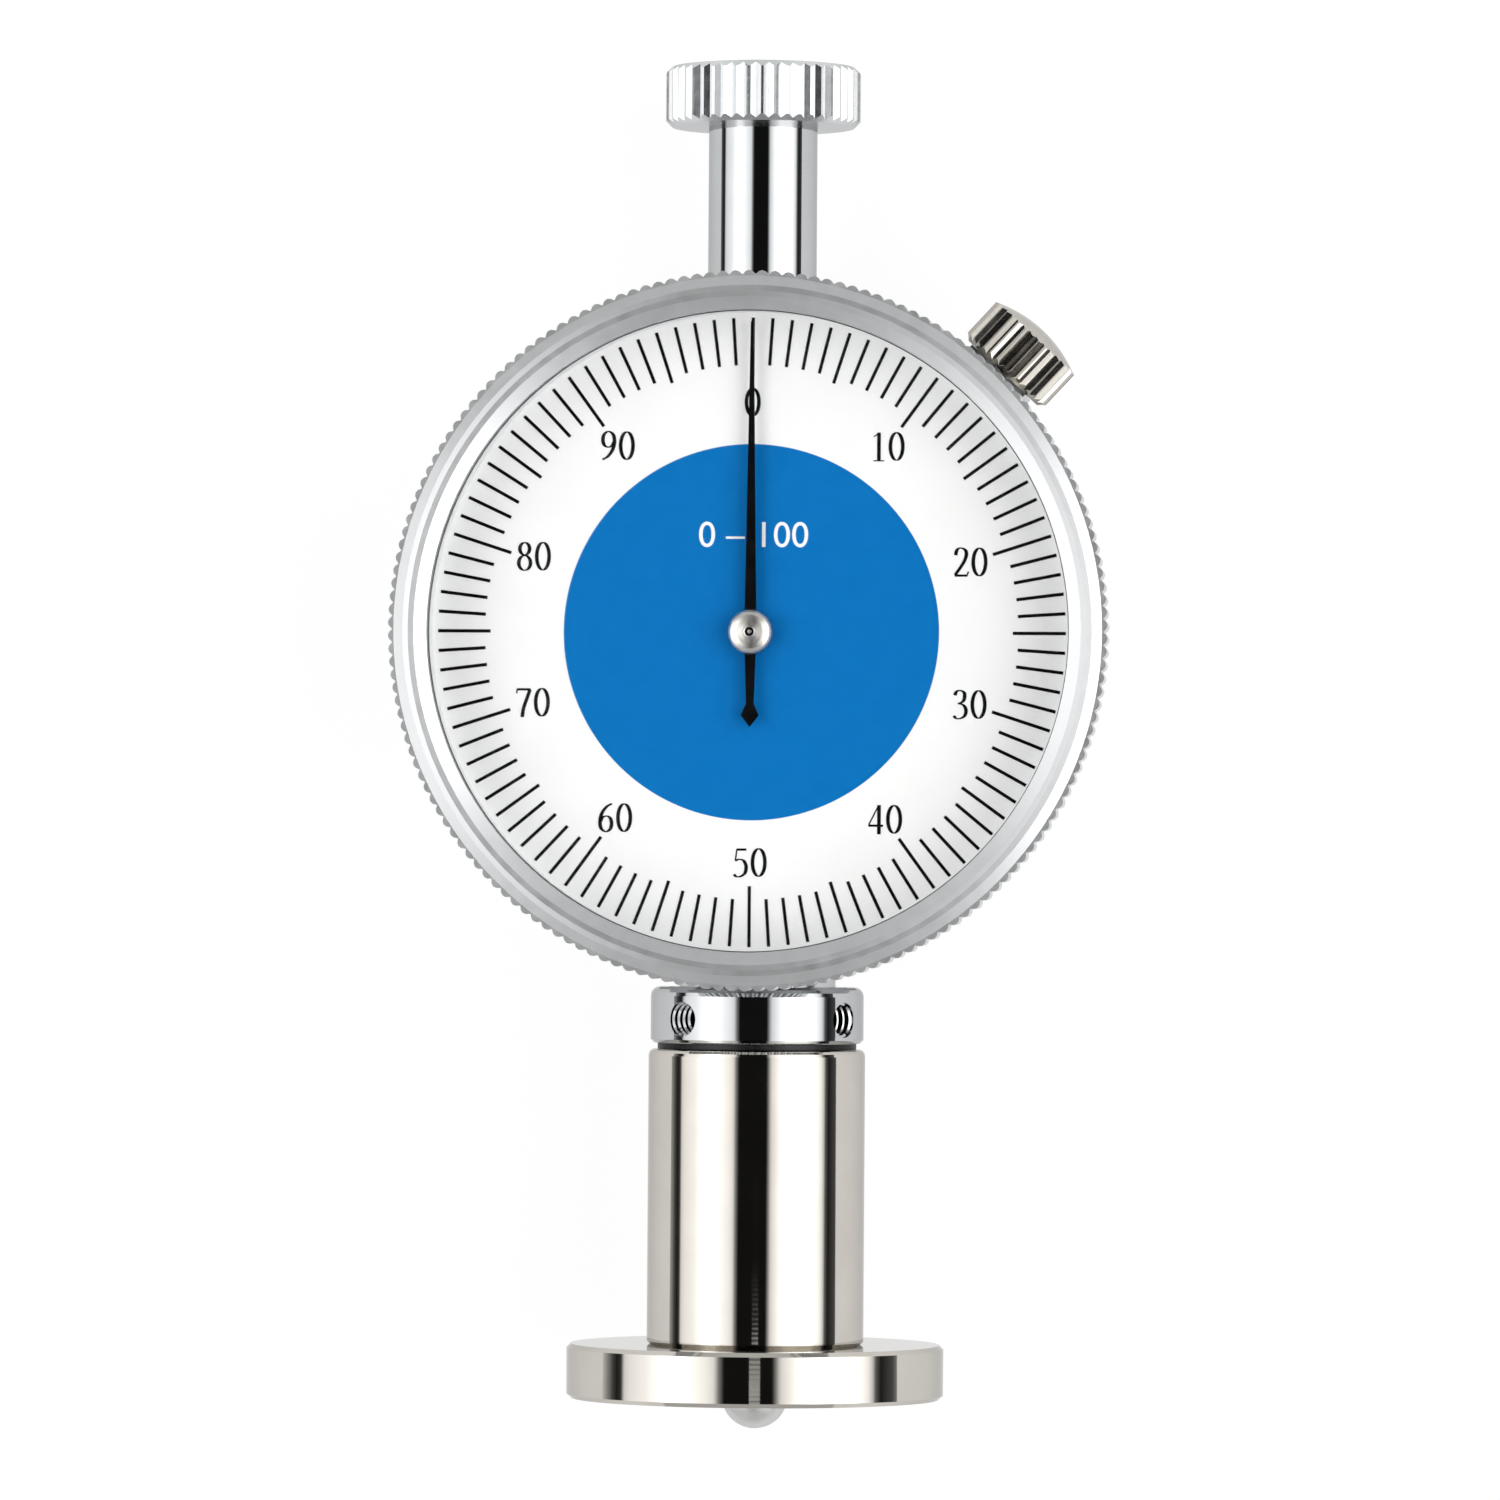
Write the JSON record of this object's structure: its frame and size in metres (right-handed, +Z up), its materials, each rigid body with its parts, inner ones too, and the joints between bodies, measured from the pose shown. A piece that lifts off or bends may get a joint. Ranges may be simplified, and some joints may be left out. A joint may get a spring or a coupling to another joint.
{
  "type": "dial durometer",
  "caption": "Hand-held dial hardness gauge: sprung ball indenter under a flat presser foot and column, rack-and-gear pointer movement in a round case, serrated bezel, knurled cap.",
  "frame": {"origin": "on the table under the middle of the gauge, which lies on its back on the rim of its foot and the edge of its back cover", "axes": "+Y along the gauge from the ball to the cap, +Z up, the way the dial faces but for a lean of 3.5 degrees, +X to the right of the dial"},
  "size_m": [0.0588, 0.1132, 0.0315],
  "materials": {
    "nickel_steel": "polished",
    "chrome_brass": "polished",
    "satin_bezel": "satin",
    "case_chrome": "satin",
    "ground_steel": "gloss",
    "ball_steel": "satin",
    "screw_steel": "satin",
    "black_steel": "satin",
    "spring_steel": "satin",
    "blued_steel": "satin",
    "brass": "satin",
    "gasket_rubber": "matte",
    "crystal_glass": "gloss",
    "spacer_ring": "satin",
    "dial_enamel": "satin",
    "pointer_black": "satin",
    "hub_steel": "satin"
  },
  "bodies": {
    "body": {"presser_foot": "nickel_steel", "column": "nickel_steel", "shim_ring": "black_steel", "stem_collar": "chrome_brass", "set_screws": "black_steel", "lower_guide_bush": "brass", "collar_guide_bush": "brass", "upper_guide_bush": "brass", "spring_adjuster": "brass", "top_tube": "chrome_brass", "top_cap": "chrome_brass", "case_body": "case_chrome", "case_gasket": "gasket_rubber", "back_cover": "case_chrome", "cover_screws": "screw_steel", "bezel_ring_wire": "black_steel", "hairspring": "blued_steel", "hairspring_stud": "ground_steel", "main_plate": "brass", "plate_screws": "screw_steel", "centre_cock": "brass", "cock_pillars": "ground_steel", "rear_plate": "brass", "plate_pillars": "ground_steel", "pillar_screws": "screw_steel"},
    "indenter": {"spindle": "ground_steel", "ball_indenter": "ball_steel", "guide_pin": "ground_steel", "main_spring": "spring_steel"},
    "rack_wheel": {"rack_arbor": "ground_steel", "transfer_gear": "brass"},
    "pointer_assembly": {"centre_arbor": "ground_steel", "pointer_hub": "hub_steel", "pointer": "pointer_black"},
    "takeup_wheel": {"takeup_arbor": "ground_steel", "takeup_gear": "brass"},
    "bezel_assembly": {"bezel": "satin_bezel", "crystal": "crystal_glass", "crystal_ring": "spacer_ring", "dial_face": "dial_enamel"},
    "jaw": {"clamp_jaw": "case_chrome"},
    "thumb_screw": {"clamp_screw": "chrome_brass"}
  },
  "joints": [
    {"name": "indenter_travel", "type": "slide", "parent": "body", "child": "indenter", "axis": [0, 0.9982, -0.0605], "range_m": [0, 0.0025], "stiffness_N_per_m": 3006, "springref_m": -0.00018, "deforming": ["main_spring"]},
    {"name": "rack_wheel_turn", "type": "hinge", "parent": "body", "child": "rack_wheel", "pos_m": [-0.00294, -0.00256, 0.01274], "axis": [0, -0.0605, -0.9982], "range_deg": [-90.5, 0.5]},
    {"name": "pointer_turn", "type": "hinge", "parent": "body", "child": "pointer_assembly", "pos_m": [0, 0.00906, 0.01204], "axis": [0, -0.0605, -0.9982], "range_deg": [-2, 362]},
    {"name": "takeup_turn", "type": "hinge", "parent": "body", "child": "takeup_wheel", "pos_m": [0.00849, 0.01753, 0.01153], "axis": [0, -0.0605, -0.9982], "range_deg": [-90.5, 0.5]},
    {"name": "bezel_turn", "type": "hinge", "parent": "body", "child": "bezel_assembly", "pos_m": [0, 0.00906, 0.01204], "axis": [0, -0.0605, -0.9982], "continuous": true},
    {"name": "jaw_lift", "type": "slide", "parent": "body", "child": "jaw", "axis": [0.682, 0.73, -0.0443], "range_m": [0, 0.0005]},
    {"name": "clamp_turn", "type": "hinge", "parent": "jaw", "child": "thumb_screw", "pos_m": [0, 0.00924, 0.01513], "axis": [0.682, 0.73, -0.0443], "range_deg": [-2, 362]}
  ],
  "couplings": [
    {"joint": "rack_wheel_turn", "follows": "indenter_travel", "rad_per_m": -628.32},
    {"joint": "pointer_turn", "follows": "indenter_travel", "rad_per_m": 2513.3},
    {"joint": "takeup_turn", "follows": "indenter_travel", "rad_per_m": -628.32},
    {"joint": "clamp_turn", "follows": "jaw_lift", "rad_per_m": 12566}
  ]
}
